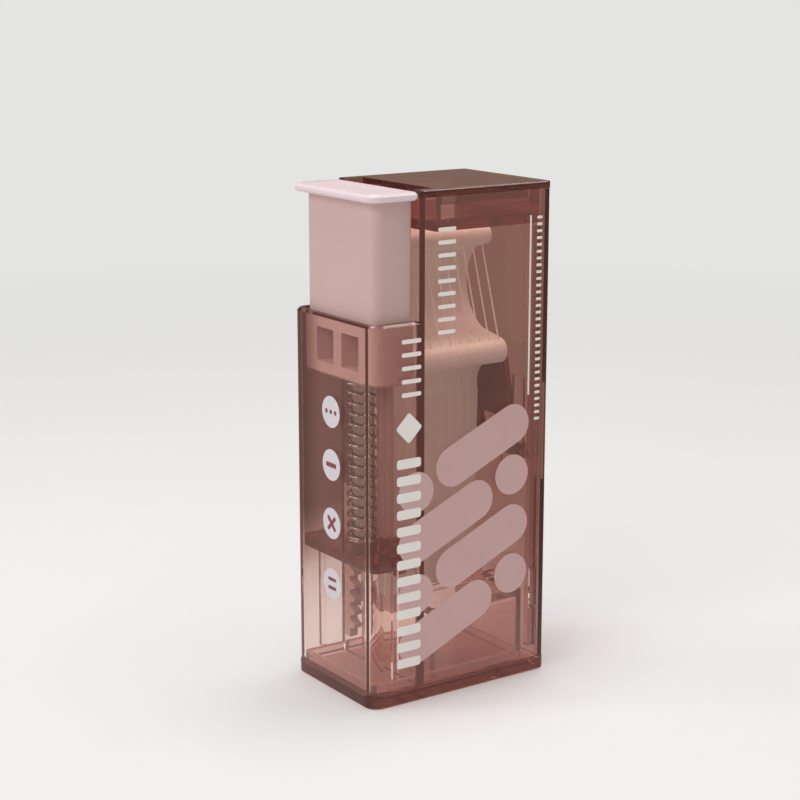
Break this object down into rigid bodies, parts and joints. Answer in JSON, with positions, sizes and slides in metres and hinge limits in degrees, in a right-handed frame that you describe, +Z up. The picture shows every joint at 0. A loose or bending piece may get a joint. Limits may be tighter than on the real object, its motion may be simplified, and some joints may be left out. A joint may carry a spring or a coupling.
{
  "type": "dental floss dispenser",
  "caption": "See-through press-button dispenser: a rack and pinion lifts a floss pick out of the slot in its lid.",
  "frame": {"origin": "centre of the rectangle that the base stands on", "axes": "+Z up, -Y towards the wide printed face, -X towards the end with the push button"},
  "size_m": [0.038, 0.0256, 0.09],
  "materials": {
    "clear_case": "tinted clear moulding, polished",
    "button": "opaque satin moulding",
    "pick": "satin moulding",
    "floss": "waxed strand",
    "gear": "moulded acetal",
    "flap": "dark tinted moulding",
    "flap_pad": "soft matt pad",
    "steel": "drawn spring steel"
  },
  "bodies": {
    "case": {"case_shell": "clear_case", "base_cover": "clear_case", "top_lid": "clear_case", "pick_ceiling": "clear_case", "pick_stand": "clear_case", "bay_shelf": "clear_case", "pinion_axle": "steel", "return_spring": "steel", "pick_2": "pick", "pick_3": "pick", "pick_4": "pick", "pick_5": "pick", "pick_6": "pick", "pick_7": "pick", "pick_8": "pick", "pick_9": "pick", "floss_2": "floss", "floss_3": "floss", "floss_4": "floss", "floss_5": "floss", "floss_6": "floss", "floss_7": "floss", "floss_8": "floss", "floss_9": "floss"},
    "button": {"button_body": "button", "button_cap": "button", "button_rod": "steel", "button_rack": "button"},
    "pinion": {"pinion": "gear"},
    "lifter": {"lifter": "gear", "pick_1": "pick", "floss_1": "floss"},
    "door": {"refill_door": "clear_case", "flap_pin": "steel", "flap_spring": "steel"},
    "flap": {"flap": "flap", "flap_pad": "flap_pad"}
  },
  "joints": [
    {"name": "button_press", "type": "slide", "parent": "case", "child": "button", "axis": [0, 0, -1], "range_m": [0, 0.02], "stiffness_N_per_m": 60, "springref_m": -0.03, "deforming": ["return_spring"]},
    {"name": "pinion_spin", "type": "hinge", "parent": "case", "child": "pinion", "pos_m": [-0.011, 0.0011, 0.0308], "axis": [1, 0, 0], "range_deg": [0, 358.2]},
    {"name": "lifter_rise", "type": "slide", "parent": "case", "child": "lifter", "axis": [0, 0, 1], "range_m": [0, 0.02]},
    {"name": "door_swing", "type": "hinge", "parent": "case", "child": "door", "pos_m": [0.01775, 0.01155, 0.045], "axis": [0, 0, 1], "range_deg": [0, 120]},
    {"name": "flap_swing", "type": "hinge", "parent": "door", "child": "flap", "pos_m": [0.0161, 0, 0.041], "axis": [0, 1, 0], "range_deg": [0, 12], "stiffness_Nm_per_rad": 0.006, "springref_deg": -45.84}
  ],
  "couplings": [
    {"joint": "pinion_spin", "follows": "button_press", "rad_per_m": 312.5},
    {"joint": "lifter_rise", "follows": "button_press", "ratio": 1}
  ]
}
